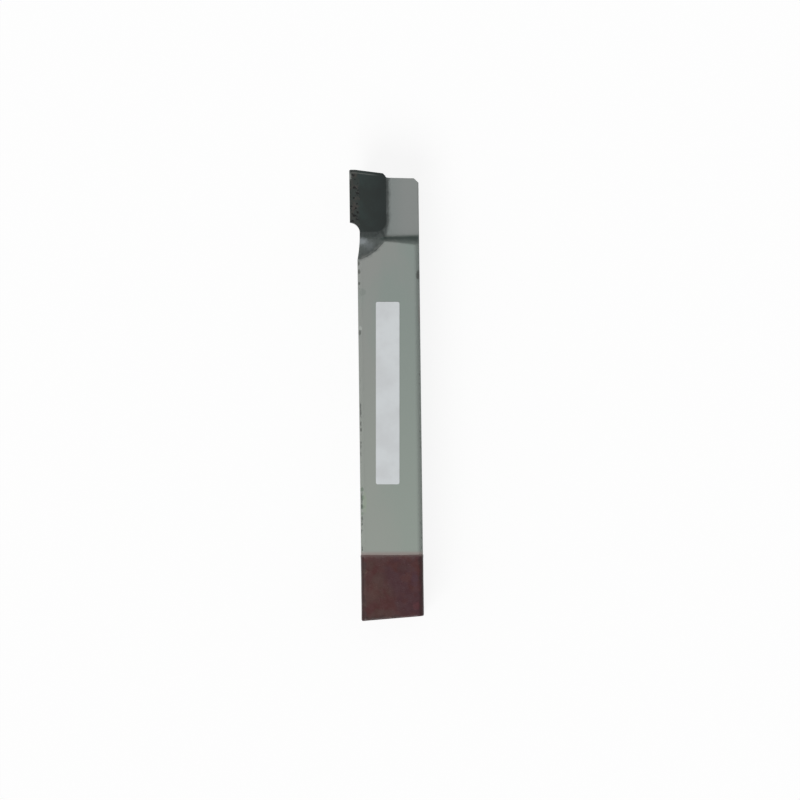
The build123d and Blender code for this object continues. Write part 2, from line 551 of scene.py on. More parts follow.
@dataclass(frozen=True)
class SprayedEnamel(Finish):
    """Grey-green machine enamel, sprayed on the bar and the milled head.

    It gives the eye a satin skin with orange peel, soft changes of tone, chipped long edges
    with painted shade along them, dirt and painted shade in the step, and painted shade on
    the milled head. The ground flanks and the neck are bare steel with wheel marks.
    """

    body: str = "#858B86"
    green: str = "#768680"
    warm: str = "#888785"
    rear: str = "#929A90"
    head: str = "#7C8280"
    head_pale: str = "#828684"
    edge_shade: str = "#666B68"
    maroon_haze: str = "#857370"
    chip: str = "#464A47"
    dirt_and_shade: str = "#2F3E3A"
    steel: GroundMarks = GroundMarks("#9A9B98", "#7E7F7C")
    steel_roughness: float = 0.34
    satin: Pair = (0.46, 0.58)  # the paint's lowest and highest roughness
    orange_peel: float = 1.3  # width of its dimples
    peel_depth: float = 0.006
    mottle: float = 14.0  # width of the soft changes of tone
    side_pull: float = 0.14  # how far they lean to warm on the left and green on the right
    body_share: float = 0.55  # how much the body's own tone evens them out
    rear_share: float = 0.53  # how much of the rear's tone has come in at the dip
    haze_reach: Pair = (1.2, 0.1)  # ahead of the dip line, where the maroon haze comes in
    haze_cover: float = 0.7
    chip_reach: Pair = (0.95, 0.45)  # from a top edge, where chips begin and are common
    flake: float = 0.7  # width of a chip
    flake_step: Pair = (0.52, 0.58)  # how strong its grain has to be, less for more chips
    bunch: float = 13.0  # size of the stretches with and without chips
    bunching: Pair = (-0.2, 0.06)  # what those add to the chips' grain
    right_less: float = -0.05  # and what the right edge adds
    chip_cover: float = 0.75
    chip_depth: float = 0.03
    shade_width: Pair = (1.7, 0.8)  # from a long side, where the painted shade on the edge fades in
    shade_left: float = 0.12
    shade_right: float = 0.42
    step_width: float = 1.9  # how far the dirt and painted shade reach behind the step's root
    step_ahead: float = 3.0  # how many times less it reaches ahead of it
    step_spread: Pair = (0.7, 1.3)  # how that reach grows from the middle to the right
    step_ragged: Pair = (1.3, 0.15)
    step_start: Pair = (-3.5, -0.5)  # x where the dirt and painted shade come in, beside the hollow
    step_cover: float = 0.85
    head_start: Pair = (-1.6, -0.6)  # from the tip's rear, where the head's paint begins
    steep: Pair = (0.42, 0.38)  # a flank's normal rises or falls by less than this
    neck_steep: Pair = (0.36, 0.33)  # and the neck's by less than this
    neck_ragged: Pair = (1.4, 0.15)
    marks: tuple[Mark, ...] = (
        Mark(7.75, 30.9, 0.55, 1.3, "#41433F"),
        Mark(7.9, 21.0, 0.4, 3.0, "#6F6A66", 0.5),
        Mark(-6.9, 26.5, 0.9, 0.9, "#737A75", 0.55),
        Mark(-7.75, 34.1, 0.35, 0.5, "#454943"),
        Mark(-7.7, 31.9, 0.35, 0.6, "#4A4E48"),
        Mark(-7.7, 28.9, 0.3, 0.4, "#4A4E48"),
        Mark(-7.4, 17.3, 0.4, 0.5, "#A2A7A3", 0.6),
        Mark(-7.7, 16.2, 0.4, 0.6, "#4B4F4A"),
        Mark(-7.6, -24.3, 0.4, 0.5, "#5B6A5C", 0.75),
        Mark(-7.5, -26.4, 0.5, 0.6, "#566657", 0.75),
        Mark(-7.5, -28.8, 0.5, 0.6, "#5B6A5C", 0.75),
        Mark(-7.55, -30.6, 0.35, 0.4, "#6C7A6C", 0.7),
        Mark(-6.9, -27.6, 0.5, 2.6, "#8B9A84", 0.45),
        Mark(5.9, 55.4, 0.6, 0.35, "#5F6461", 0.6),
        # The last two darken the head's right edge: painted shade on that edge
        Mark(7.9, 44.2, 0.5, 1.6, "#4F5653", 0.6),
        Mark(7.95, 49.5, 0.4, 5.5, "#5F6461", 0.5),
    )

    def draw(self, c: Canvas) -> dict[str, object]:
        """Draws enamel with painted light and shade, burnt flux, dirt, chips and bare ground steel.

        Args:
            c: The canvas to draw on.

        Returns:
            The shader's inputs by name.
        """
        chipped = self.chips(c)
        bare = self.bare_steel(c)
        steel, ground = self.steel.draw(c)
        colour = BurntFlux(self.places).over(c, self.paint(c))
        colour = self.shade_and_dirt_in_step(c, colour)
        for mark in self.marks:
            colour = mark.over(c, colour, self.places.top)
        colour = c.blend(c.every(chipped, self.chip_cover), colour, self.chip)
        peel = c.every(c.grain(self.orange_peel, 1.0, seed=21.0), self.peel_depth)
        dent = c.every(chipped, -self.chip_depth)
        rough = c.ramp(c.grain(0.8, seed=31.0), 0.3, 0.7, *self.satin)
        return {
            "Base Color": c.blend(bare, colour, steel),
            "Metallic": bare,
            "Roughness": c.blend(bare, rough, self.steel_roughness),
            "Relief": c.blend(bare, c.combine("ADD", peel, dent), ground),
        }

    def paint(self, c: Canvas) -> Socket:
        """Draws the paint's tones, warmer to the left, greener to the right, paler to the rear.

        Args:
            c: The canvas to draw on.

        Returns:
            The colour's socket.
        """
        at = self.places
        across = c.ramp(c.x, -at.right, at.right, -self.side_pull, self.side_pull)
        cloud = c.combine("ADD", c.grain(self.mottle, 3.0, (1, 2.2, 1), seed=3.0), across)
        colour = c.blend(c.ramp(cloud, 0.36, 0.64), self.warm, self.green)
        colour = c.blend(self.body_share, colour, self.body)
        # Paler to the rear: painted light, in place of the light falling off along the tool
        to_rear = c.ramp(c.y, at.tip_rear, at.rear + 10.0, 0.0, self.rear_share)
        colour = c.blend(to_rear, colour, self.rear)
        # Painted shade along the long edges of the top, where they round off away from the light,
        # the right one more
        edge_shading = c.every(
            c.ramp(at.from_side(c), *self.shade_width),
            c.ramp(c.x, -1.0, 1.0, self.shade_left, self.shade_right),
            c.ramp(c.y, at.tip_rear, at.tip_rear - 3.0),
            c.ramp(c.z, at.top - 2.5, at.top - 1.0),
        )
        colour = c.blend(edge_shading, colour, self.edge_shade)
        # The milled head is darker: thinner, duller paint, and painted shade for its top face, which
        # leans away from the light
        head = c.blend(c.ramp(c.x, 0.5, 5.0), self.head, self.head_pale)
        on_top = c.ramp(c.facing["z"], 0.35, 0.6)
        ahead = c.ramp(c.y, *(at.tip_rear + start for start in self.head_start))
        colour = c.blend(c.every(ahead, on_top), colour, head)
        # A trace of maroon just ahead of the dip
        start, end = (DIP_LINE + reach for reach in self.haze_reach)
        return c.blend(c.ramp(c.y, start, end, 0.0, self.haze_cover), colour, self.maroon_haze)

    def shade_and_dirt_in_step(self, c: Canvas, colour: Socket) -> Socket:
        """Lays the dirt that settled in the root of the step and was worn over its edge, and
        painted shade there, where the step's wall faces away from the light.

        Args:
            c: The canvas to draw on.
            colour: The colour under it.

        Returns:
            The colour with the dirt and painted shade on it.
        """
        at = self.places
        behind = c.combine("SUBTRACT", at.tip_rear - at.step_root, c.y)
        from_root = c.combine("MAXIMUM", behind, c.every(behind, -self.step_ahead))
        ragged = c.combine("ADD", from_root, c.wander(*self.step_ragged, seed=33.0))
        share = c.combine("DIVIDE", ragged, c.ramp(c.x, -2.0, at.right, *self.step_spread))
        dark = c.ramp(share, self.step_width, 0.0, 0.0, self.step_cover)
        upward = c.ramp(c.facing["z"], 0.2, 0.3)
        return c.blend(c.every(dark, upward, c.ramp(c.x, *self.step_start)), colour, self.dirt_and_shade)

    def chips(self, c: Canvas) -> Socket:
        """Draws the nicks in the paint along the long edges of the top face.

        Args:
            c: The canvas to draw on.

        Returns:
            The mask of the chipped places.
        """
        at = self.places
        from_edge = c.length(at.from_side(c), c.combine("SUBTRACT", at.top, c.z))
        near = c.ramp(from_edge, *self.chip_reach)
        rare = c.ramp(c.grain(self.bunch, 1.0, seed=12.0), 0.4, 0.65, *self.bunching)
        right = c.ramp(c.x, -1.0, 1.0, 0.0, self.right_less)
        flakes = c.combine("ADD", c.grain(self.flake, 4.0, (1, 1.4, 1), seed=11.0), rare, right)
        return c.ramp(c.every(near, flakes), *self.flake_step)

    def bare_steel(self, c: Canvas) -> Socket:
        """Finds the ground flanks of the head and the ground neck.

        Args:
            c: The canvas to draw on.

        Returns:
            The mask of the bare steel.
        """
        at = self.places
        left = -at.right
        level = c.distance(c.facing["z"], 0.0)
        # A flank looks ahead or leans out. Only the left one is told by its lean, times four,
        # as the bar's lower right edge leans too
        lean = c.every(c.facing["z"], c.ramp(c.x, 1.0, -1.0, 0.0, -4.0))
        leaning = c.every(
            c.ramp(c.combine("MAXIMUM", c.facing["y"], lean), 0.2, 0.35),
            c.ramp(level, *self.steep),
            c.ramp(c.y, at.tip_rear - 0.6, at.tip_rear - 0.5),
            c.ramp(c.x, at.right - 0.01, at.right - 0.03),
        )
        # The neck lies inside the bar's left side, by 1 mm at most, and outside it at the tip
        inside = c.ramp(c.x, left + 0.01, left + 0.03)
        beside_tip = c.ramp(c.y, at.tip_rear - 0.3, at.tip_rear)
        border = c.combine("ADD", c.y, c.wander(*self.neck_ragged, seed=37.0))
        neck = c.every(
            c.combine("MAXIMUM", inside, beside_tip),
            c.ramp(c.x, left + 1.1, left + 0.9),
            c.ramp(border, at.neck_rear, at.neck_rear + 0.1),
            c.ramp(level, *self.neck_steep),
        )
        return c.combine("MAXIMUM", leaning, neck)


@dataclass(frozen=True)
class DippedEnamel(Finish):
    """Maroon enamel, dipped over the rear end to mark the grade of carbide.

    It gives the eye a deeper, smoother gloss than the spray, with a browner left side,
    darker edges, dust nibs and runs.
    """

    body: str = "#421918"
    brown: str = "#432722"
    purple: str = "#3C181F"
    edge: str = "#281211"
    thin: str = "#7A6C68"  # the grey that shows through just behind the line
    gloss: Pair = (0.30, 0.42)  # its lowest and highest roughness
    cloud: float = 7.0  # width of the soft changes of tone
    side_pull: float = 0.2  # how far they lean to brown on the left and purple on the right
    nibs: float = 0.9  # spacing of the dust nibs
    runs: float = 2.4  # width of the runs
    relief: float = 0.009
    edge_width: Pair = (1.4, 0.5)  # from a side or the end, where the edge darkens
    edge_ragged: Pair = (2.0, 0.5)
    edge_cover: float = 0.7
    thin_width: float = 0.8
    thin_cover: float = 0.6
    marks: tuple[Mark, ...] = (
        Mark(-7.0, -45.5, 0.6, 0.7, "#5A4238", 0.7),
        Mark(-7.3, -53.9, 0.5, 0.5, "#5C463B", 0.7),
        Mark(-4.9, -50.6, 1.3, 2.2, "#50302B", 0.4),
        Mark(2.6, -44.6, 1.6, 1.4, "#3B1B19", 0.5),
        Mark(5.7, -47.5, 1.0, 2.2, "#402130", 0.4),
        Mark(6.2, -54.6, 0.9, 1.0, "#55242A", 0.5),
    )

    def draw(self, c: Canvas) -> dict[str, object]:
        """Draws the dip's tones, its darker edges, worn places, nibs and runs.

        Args:
            c: The canvas to draw on.

        Returns:
            The shader's inputs by name.
        """
        at = self.places
        across = c.ramp(c.x, -at.right, at.right, -self.side_pull, self.side_pull)
        cloud = c.combine("ADD", c.grain(self.cloud, 3.0, (1, 1.5, 1), seed=2.0), across)
        colour = c.blend(c.ramp(cloud, 0.3, 0.7), self.brown, self.purple)
        colour = c.blend(c.ramp(c.grain(3.0, seed=9.0), 0.4, 0.65), colour, self.body)
        for mark in self.marks:
            colour = mark.over(c, colour, at.top)
        nearest = c.combine("MINIMUM", at.from_side(c), c.combine("SUBTRACT", c.y, at.rear))
        inside = c.combine("ADD", nearest, c.wander(*self.edge_ragged, seed=19.0))
        near_edge = c.ramp(inside, *self.edge_width, 0.0, self.edge_cover)
        colour = c.blend(near_edge, colour, self.edge)
        near_line = c.ramp(c.y, DIP_LINE - self.thin_width, DIP_LINE, 0.0, self.thin_cover)
        nib = c.ramp(c.grain(self.nibs, 1.0, seed=4.0), 0.66, 0.74)
        run = c.grain(self.runs, 1.0, seed=6.0)
        return {
            "Base Color": c.blend(near_line, colour, self.thin),
            "Roughness": c.ramp(c.grain(1.5, seed=8.0), 0.3, 0.7, *self.gloss),
            "Relief": c.every(c.combine("ADD", nib, run), self.relief),
        }


@dataclass(frozen=True)
class GroundCarbide(Finish):
    """Sintered tungsten carbide, ground on its flanks after brazing.

    It gives the eye a dark, dull top with a slightly paler, pitted land along the side
    edge, a honed line behind the front edge, and finer, brighter wheel marks on the flanks.
    """

    sintered: str = "#2C3735"
    mottle: str = "#272E2C"
    far: str = "#202726"
    land: str = "#333936"
    land_warm: str = "#413E3A"
    pit: str = "#0B0D0D"
    worn: str = "#6A6D6A"
    flanks: GroundMarks = GroundMarks("#6B6E6E", "#5A5D5D", pitch=0.1, depth=0.003)
    top_metallic: float = 0.35  # its oxide skin hides part of the metal
    top_roughness: float = 0.5
    flank_roughness: float = 0.3
    press_grain: float = 0.2  # size of the pressed surface's grain
    press_depth: float = 0.003
    pit_depth: float = 0.05
    pit_shape: float = 0.8  # a pit's length as a share of its width
    pit_ragged: Pair = (0.35, 0.6)
    small_pits: float = 0.8  # spacing of the small ones
    pitted_width: Pair = (2.6, 2.0)  # from the side edge, where they stop
    cloud: float = 3.5  # width of the soft changes of tone
    far_start: Pair = (3.0, -0.5)  # from the side edge and the inner side, where it darkens
    far_cover: float = 0.75
    land_width: Pair = (2.5, 2.0)  # from the side edge, where the land fades out
    land_ragged: Pair = (0.9, 0.45)
    front_land: float = 0.8  # how far behind the front edge its honed line lies
    honed_width: Pair = (0.2, 0.05)  # half the line's width, with and without its soft border
    honed_end: Pair = (8.0, 5.0)  # from the side edge, where the line fades out
    honed_cover: float = 0.6
    glint: Mark = Mark(-9.65, 56.4, 0.3, 0.9, "#858986", 0.8, 2.0)  # where the side edge was honed
    pits: tuple[Triple, ...] = (  # x, y and half the size of each
        (-8.5, 53.7, 0.42), (-7.8, 52.2, 0.5), (-8.7, 51.0, 0.32), (-9.25, 48.9, 0.3),
        (-7.75, 47.3, 0.36), (-8.45, 46.4, 0.55), (-9.2, 45.0, 0.4), (-7.9, 45.5, 0.36),
        (-8.8, 56.9, 0.36), (-7.4, 57.3, 0.3),
    )

    def draw(self, c: Canvas) -> dict[str, object]:
        """Draws the sintered top, the lands with their pits, and the ground flanks.

        Args:
            c: The canvas to draw on.

        Returns:
            The shader's inputs by name.
        """
        at = self.places
        cloud = c.ramp(c.grain(self.cloud, 3.0, seed=1.0), 0.35, 0.65)
        colour = c.blend(cloud, self.sintered, self.mottle)
        start, end = at.side_edge + self.far_start[0], at.tip_right + self.far_start[1]
        colour = c.blend(c.ramp(c.x, start, end, 0.0, self.far_cover), colour, self.far)
        from_edge = c.combine("SUBTRACT", c.x, at.side_edge)
        from_edge = c.combine("ADD", from_edge, c.wander(*self.land_ragged, seed=23.0))
        land = c.blend(c.wander(1.6, 1.0, seed=29.0), self.land, self.land_warm)
        colour = c.blend(c.ramp(from_edge, *self.land_width), colour, land)
        pitted = c.every(self.pitting(c), c.ramp(c.facing["z"], 0.4, 0.6))
        colour = c.blend(pitted, colour, self.pit)
        line = c.ramp(c.distance(at.from_front_edge(c), self.front_land), *self.honed_width)
        kept = c.ramp(c.x, *(at.side_edge + end for end in self.honed_end))
        colour = c.blend(c.every(line, kept, self.honed_cover), colour, self.worn)
        colour = self.glint.over(c, colour, at.top)
        flank = c.ramp(c.facing["z"], 0.6, 0.4)
        ground, lines = self.flanks.draw(c)
        fine = c.every(c.grain(self.press_grain, 2.0, seed=17.0), self.press_depth)
        top_relief = c.combine("SUBTRACT", fine, c.every(pitted, self.pit_depth))
        return {
            "Base Color": c.blend(flank, colour, ground),
            "Metallic": c.blend(flank, self.top_metallic, 1.0),
            "Roughness": c.blend(flank, self.top_roughness, self.flank_roughness),
            "Relief": c.blend(flank, top_relief, lines),
        }

    def pitting(self, c: Canvas) -> Socket:
        """Draws the pits that the pressed slab has along its side edge, large and small.

        Args:
            c: The canvas to draw on.

        Returns:
            The mask of the pits.
        """
        at = self.places
        near_edge = c.ramp(c.x, *(at.side_edge + width for width in self.pitted_width))
        holes = c.every(c.ramp(c.grain(self.small_pits, 3.0, seed=13.0), 0.6, 0.66), near_edge)
        ragged = c.wander(*self.pit_ragged, seed=27.0)
        for x, y, size in self.pits:
            spot = c.from_spot((x, y, at.top), (size, size * self.pit_shape, 3.0))
            hole = c.ramp(c.combine("ADD", spot, ragged), 1.2, 0.5)
            holes = c.combine("MAXIMUM", holes, hole)
        return holes


@dataclass(frozen=True)
class BrazeAlloy(Finish):
    """Brass filler, left under its burnt flux on the bead and ground bright on the flanks.

    It gives the eye a dark crust beside the tip that thins to steel grey at the bead's
    foot, and a fine yellow line where the wheel has cut the joint.
    """

    foot: str = "#787E7C"
    foot_pale: str = "#9BA09E"
    stain: str = "#424846"
    stain_wall: str = "#4A504E"
    alloy: str = "#A58A58"
    pale_size: float = 0.9  # width of the pale places
    pale_cover: float = 0.25
    crust_roughness: float = 0.75
    ground_roughness: float = 0.35
    lumps: float = 0.5  # width of the crust's lumps
    lump_depth: float = 0.02

    def draw(self, c: Canvas) -> dict[str, object]:
        """Draws flux-stained filler with the alloy bare where it was ground.

        Args:
            c: The canvas to draw on.

        Returns:
            The shader's inputs by name.
        """
        pale = c.ramp(c.grain(self.pale_size, 3.0, seed=2.0), 0.4, 0.62, 0.0, self.pale_cover)
        mottled = c.blend(pale, self.foot, self.foot_pale)
        flux = BurntFlux(self.places, thin=self.stain, wall=self.stain_wall)
        bare = c.ramp(c.facing["z"], 0.05, -0.03)  # upright or leaning out, as the flanks do
        return {
            "Base Color": c.blend(bare, flux.over(c, mottled), self.alloy),
            "Metallic": bare,
            "Roughness": c.blend(bare, self.crust_roughness, self.ground_roughness),
            "Relief": c.every(c.grain(self.lumps, 2.0, seed=3.0), self.lump_depth),
        }


@dataclass(frozen=True)
class CoatedPaper(Finish):
    """White coated label paper, stuck down and handled.

    It gives the eye a cool, even white with fibres that only show where light rakes it.
    """

    paper: str = "#C9CDCF"
    worn: str = "#C2C5C7"
    matt: Pair = (0.5, 0.65)  # its lowest and highest roughness
    fibre: float = 0.35  # width of a bundle of fibres, coarser than real so that it shows
    fibre_depth: float = 0.006
    handling: float = 5.0  # width of the handling marks

    def draw(self, c: Canvas) -> dict[str, object]:
        """Draws the paper's fibres and its faint handling marks.

        Args:
            c: The canvas to draw on.

        Returns:
            The shader's inputs by name.
        """
        fibres = c.grain(self.fibre, 3.0, (1, 3, 1), seed=1.0)
        worn = c.ramp(c.grain(self.handling, 3.0, seed=5.0), 0.35, 0.7)
        return {
            "Base Color": c.blend(worn, self.paper, self.worn),
            "Roughness": c.ramp(fibres, 0.3, 0.7, *self.matt),
            "Relief": c.every(fibres, self.fibre_depth),
        }


@dataclass
class CadPiece:
    """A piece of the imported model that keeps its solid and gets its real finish."""

    node: str
    slot: Slot
    finish: Finish

    def dress(self) -> None:
        """Gives the piece its finish."""
        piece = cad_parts[self.node]
        piece.data.materials.clear()
        piece.data.materials.append(self.finish.material())
        LOG.info("dressed %s", self.node)


def make_piece(
    name: str, slot: Slot, finish: Finish, points: list[Vector], faces: list[Face]
) -> None:
    """Adds a piece of the tool's own looks that rides with the tool.

    Args:
        name: The piece's name.
        slot: The record's material slot; not used.
        finish: What it is made of.
        points: Its corners in mm.
        faces: The corners of each face, by place in points.
    """
    mesh = bpy.data.meshes.new(name)
    mesh.from_pydata([point * MM for point in points], [], faces)
    mesh.shade_smooth()
    mesh.materials.append(finish.material())
    piece = add_object(name, mesh)
    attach(piece, "root")
    LOG.info("built %s with %d faces", name, len(faces))


def join_rings(first: int, rings: int, around: int) -> list[Face]:
    """Joins rings of points, one after another, by faces with four corners.

    Args:
        first: The place of the first ring's first point.
        rings: How many rings there are.
        around: How many points each ring has.

    Returns:
        The faces.
    """
    faces = []
    for ring in range(rings - 1):
        start = first + ring * around
        for i in range(around):
            j = (i + 1) % around
            faces.append((start + i, start + j, start + around + j, start + around + i))
    return faces


def close_skin(
    face: list[list[Vector]], under: list[list[Vector]]
) -> tuple[list[Vector], list[Face]]:
    """Joins two grids of points into one closed skin.

    Args:
        face: The rows of the upper grid.
        under: The rows of the lower grid, as many and as long.

    Returns:
        The points and the faces.
    """
    rows, columns = len(face), len(face[0])
    points = [point for grid in (face, under) for row in grid for point in row]
    lower = rows * columns
    faces = []
    for row in range(rows - 1):
        for column in range(columns - 1):
            a = row * columns + column
            faces.append((a, a + columns, a + columns + 1, a + 1))
            faces.append((lower + a, lower + a + 1, lower + a + columns + 1, lower + a + columns))
    border = [(0, column) for column in range(columns)]
    border += [(row, columns - 1) for row in range(1, rows)]
    border += [(rows - 1, column) for column in range(columns - 2, -1, -1)]
    border += [(row, 0) for row in range(rows - 2, 0, -1)]
    rim = [row * columns + column for row, column in border]
    for a, b in zip(rim, rim[1:] + rim[:1]):
        faces.append((a, b, lower + b, lower + a))
    return points, faces


class Ground:
    """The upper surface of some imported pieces, for what lies on them."""

    SKY = 100.0  # a height over the whole tool, from which it looks down

    def __init__(self, nodes: tuple[str, ...]) -> None:
        """Reads the pieces.

        Args:
            nodes: The names of the pieces.
        """
        self.trees = []
        for name in nodes:
            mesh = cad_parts[name].data
            corners = [vertex.co / MM for vertex in mesh.vertices]
            faces = [tuple(face.vertices) for face in mesh.polygons]
            self.trees.append(BVHTree.FromPolygons(corners, faces))

    def height(self, place: Vector) -> float:
        """Gives the height of the highest surface at a place seen from above.

        Args:
            place: The place in mm.

        Returns:
            The height in mm, or the place's own where there is nothing.
        """
        start = Vector((place.x, place.y, self.SKY))
        hits = (tree.ray_cast(start, Vector((0, 0, -1)))[0] for tree in self.trees)
        return max((hit.z for hit in hits if hit is not None), default=place.z)


@dataclass
class BrazeBead:
    """The filler that wetted up the tip's inner side and rear, as a lumpy fillet."""

    finish: Finish
    rake_angle: float = 7.0
    below_edge: float = 0.05  # the filler stops this far below the tip's top edge
    tucked: float = 0.06  # how far it reaches into the tip's side
    sunk: float = 0.15  # and under the surface that it lies on
    proud: float = 0.02  # how far its face stays over that surface
    foot_sunk: float = 0.01  # and how far its foot dips into it
    under_start: float = 0.3  # from the tip, where its underside begins to follow the surface
    width: float = 1.2  # beside the tip
    rear_width: float = 2.1  # behind it, where it runs down into the hollow
    width_swing: float = 0.22
    swing_rate: float = 0.35  # waves of that swing per mm
    front_end: float = 55.9  # y of its ground front end
    neck_end: float = -7.25  # x of its end at the neck
    path_drop: float = 1.5  # how far under the top face its path is walked
    climb: float = 1.7  # how hollow its face is
    lumps: float = 0.045
    lump_size: float = 1.5
    steps_along: int = 110
    steps_across: int = 14

    def path(self) -> list[tuple[Vector, Vector]]:
        """Walks round the tip's inner side and rear, seen from above.

        Returns:
            For each step the place on the tip's edge and the direction out of the tip.
        """
        at = self.finish.places
        level = at.top - self.path_drop
        centre = Vector((at.tip_right - at.tip_corner, at.tip_rear + at.tip_corner, level))
        side = self.front_end - centre.y
        bend = at.tip_corner * math.pi / 2
        back = centre.x - self.neck_end
        walk = []
        for step in range(self.steps_along + 1):
            gone = (side + bend + back) * step / self.steps_along
            if gone < side:
                place = Vector((at.tip_right, self.front_end - gone, centre.z))
                walk.append((place, Vector((1, 0, 0))))
            elif gone < side + bend:
                turn = (gone - side) / at.tip_corner
                out = Vector((math.cos(turn), -math.sin(turn), 0))
                walk.append((centre + out * at.tip_corner, out))
            else:
                place = Vector((centre.x - (gone - side - bend), at.tip_rear, centre.z))
                walk.append((place, Vector((0, -1, 0))))
        return walk

    def rake_height(self, x: float) -> float:
        """Gives the height of the tip's top at a place across the tool."""
        at = self.finish.places
        return at.top - (x - at.side_edge) * math.tan(math.radians(self.rake_angle))

    def build(self) -> None:
        """Builds the bead over what it lies on: its face, its underside and their border."""
        ground = Ground(("shank", "braze_seam"))
        face: list[list[Vector]] = []
        under: list[list[Vector]] = []
        for place, out in self.path():
            swing = noise.noise(place * self.swing_rate + Vector((0, 0, 4.0)))
            width = self.width + (self.rear_width - self.width) * max(0.0, -out.y) ** 2
            width *= 1 + self.width_swing * swing
            top = self.rake_height(place.x) - self.below_edge
            foot = ground.height(place + out * width)
            face.append([])
            under.append([])
            for step in range(self.steps_across + 1):
                share = step / self.steps_across
                spot = place + out * (width * share - self.tucked * (1 - share))
                lump = noise.noise(spot / self.lump_size) * self.lumps * 4 * share * (1 - share)
                fillet = foot + (top - foot) * (1 - share) ** self.climb + lump
                floor = ground.height(place + out * max(width * share, self.under_start))
                height = max(fillet, floor + self.proud)
                if step == 0:
                    height = top
                elif step == self.steps_across:
                    height = floor - self.foot_sunk
                face[-1].append(Vector((spot.x, spot.y, height)))
                under[-1].append(Vector((spot.x, spot.y, floor - self.sunk)))
        make_piece("braze_bead", Slot.BRAZE, self.finish, *close_skin(face, under))


@dataclass
class FluxDrops:
    """Beads of burnt flux that spat out and froze on the milled head."""

    finish: Finish
    places: tuple[Pair, ...] = ((0.35, 55.35), (0.75, 54.7), (1.0, 51.9), (0.95, 46.4), (1.5, 44.1))
    radii: tuple[float, ...] = (0.24, 0.17, 0.12, 0.15, 0.12)
    flatness: float = 0.45  # height as a share of the radius
    unevenness: float = 0.12
    sunk: float = 0.03
    sides: int = 14
    rings: int = 5

    def build(self) -> None:
        """Builds the drops as one piece of low domes with sunk feet."""
        ground = Ground(("shank", "braze_seam"))
        points: list[Vector] = []
        faces: list[Face] = []
        for (x, y), radius in zip(self.places, self.radii):
            first = len(points)
            base = ground.height(Vector((x, y, 0))) - self.sunk
            for ring in range(self.rings):
                rise = math.radians(90) * ring / self.rings
                height = base + radius * self.flatness * math.sin(rise)
                for side in range(self.sides):
                    turn = math.tau * side / self.sides
                    out = Vector((math.cos(turn), math.sin(turn), x * 3))
                    reach = radius * math.cos(rise) * (1 + self.unevenness * noise.noise(out))
                    points.append(Vector((x + out.x * reach, y + out.y * reach, height)))
            points.append(Vector((x, y, base + radius * self.flatness)))
            faces += join_rings(first, self.rings, self.sides)
            last = first + (self.rings - 1) * self.sides
            top = len(points) - 1
            faces += [(last + i, last + (i + 1) % self.sides, top) for i in range(self.sides)]
            faces.append(tuple(reversed(range(first, first + self.sides))))
        make_piece("flux_drops", Slot.BRAZE, self.finish, points, faces)


